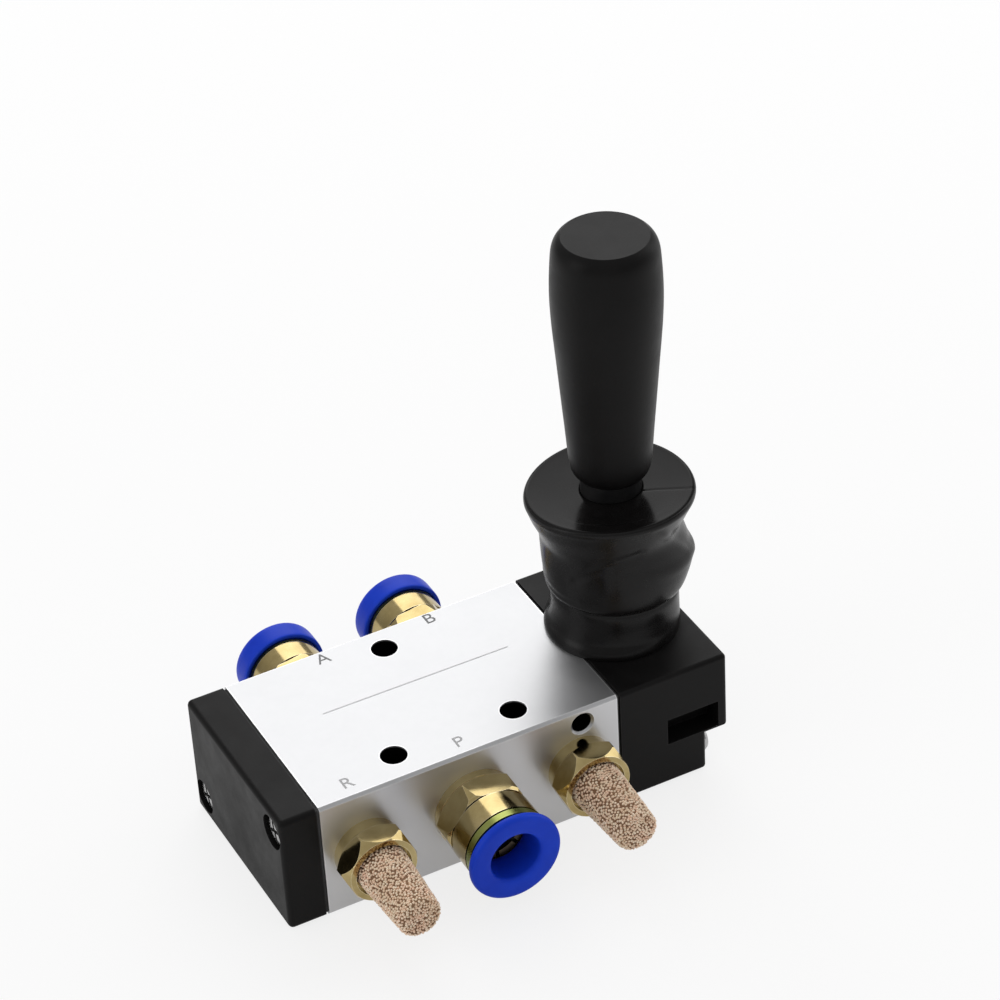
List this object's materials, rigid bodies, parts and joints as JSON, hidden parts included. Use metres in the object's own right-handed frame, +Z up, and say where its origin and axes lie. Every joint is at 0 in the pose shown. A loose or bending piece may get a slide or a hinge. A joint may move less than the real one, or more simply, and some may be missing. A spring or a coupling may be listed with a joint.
{
  "type": "hand lever air valve",
  "caption": "Hand operated spool valve: square ported block, upright lever in a rubber boot, push-in tube fittings and sintered silencers.",
  "frame": {"origin": "centre of the valve block's bottom face, on the seating plane and below the supply port's column", "axes": "+X along the spool bore from the block towards the lever housing, +Y from the supply face towards the outlet face, +Z up along the lever"},
  "size_m": [0.0821, 0.0702, 0.0954],
  "materials": {
    "anodised_aluminium": "fine satin, clear anodised",
    "black_plastic": "satin, fine moulded grain",
    "grip_plastic": "matt, fine moulded grain",
    "black_rubber": "matt with soft wrinkles",
    "seal_rubber": "smooth",
    "gasket_sheet": "matt",
    "plated_steel": "bright plated",
    "stainless_steel": "ground",
    "black_oxide_steel": "black oxide, satin",
    "spool_aluminium": "turned",
    "brass": "glossy turned",
    "sintered_bronze": "coarse sintered grains",
    "blue_plastic": "glossy moulded"
  },
  "bodies": {
    "valve": {"valve_block": "anodised_aluminium", "end_cap_gasket": "gasket_sheet", "end_cap": "black_plastic", "end_cap_screws": "plated_steel", "housing_gasket": "gasket_sheet", "lever_housing": "black_plastic", "housing_screws": "plated_steel", "pivot_pin": "stainless_steel", "rubber_boot": "black_rubber", "detent_spring": "stainless_steel", "detent_plug": "plated_steel", "supply_p_fitting_body": "brass", "supply_p_tube_seal": "seal_rubber", "supply_p_claw": "stainless_steel", "supply_p_collar": "brass", "outlet_a_fitting_body": "brass", "outlet_a_tube_seal": "seal_rubber", "outlet_a_claw": "stainless_steel", "outlet_a_collar": "brass", "outlet_b_fitting_body": "brass", "outlet_b_tube_seal": "seal_rubber", "outlet_b_claw": "stainless_steel", "outlet_b_collar": "brass", "silencer_r_base": "brass", "silencer_r_element": "sintered_bronze", "silencer_s_base": "brass", "silencer_s_element": "sintered_bronze"},
    "lever": {"lever_shaft": "black_oxide_steel", "handle_grip": "grip_plastic"},
    "spool": {"spool": "spool_aluminium", "spool_seals": "seal_rubber"},
    "detent": {"detent_ball": "stainless_steel"},
    "supply_p_ring": {"supply_p_release_ring": "blue_plastic"},
    "outlet_a_ring": {"outlet_a_release_ring": "blue_plastic"},
    "outlet_b_ring": {"outlet_b_release_ring": "blue_plastic"}
  },
  "joints": [
    {"name": "lever_tilt", "type": "hinge", "parent": "valve", "child": "lever", "pos_m": [0.0355, 0, 0.025], "axis": [0, 1, 0], "range_deg": [-10, 10], "deforming": ["rubber_boot"]},
    {"name": "spool_slide", "type": "slide", "parent": "valve", "child": "spool", "axis": [1, 0, 0], "range_m": [-0.00225, 0.00225]},
    {"name": "detent_press", "type": "slide", "parent": "valve", "child": "detent", "axis": [0, 0, -1], "range_m": [0, 0.0004], "stiffness_N_per_m": 500, "springref_m": -0.001, "deforming": ["detent_spring"]},
    {"name": "supply_p_ring_press", "type": "slide", "parent": "valve", "child": "supply_p_ring", "axis": [0, 1, 0], "range_m": [0, 0.0008], "stiffness_N_per_m": 300, "springref_m": -0.002},
    {"name": "outlet_a_ring_press", "type": "slide", "parent": "valve", "child": "outlet_a_ring", "axis": [0, -1, 0], "range_m": [0, 0.0008], "stiffness_N_per_m": 300, "springref_m": -0.002},
    {"name": "outlet_b_ring_press", "type": "slide", "parent": "valve", "child": "outlet_b_ring", "axis": [0, -1, 0], "range_m": [0, 0.0008], "stiffness_N_per_m": 300, "springref_m": -0.002}
  ],
  "couplings": [
    {"joint": "spool_slide", "follows": "lever_tilt", "m_per_rad": -0.0128}
  ]
}
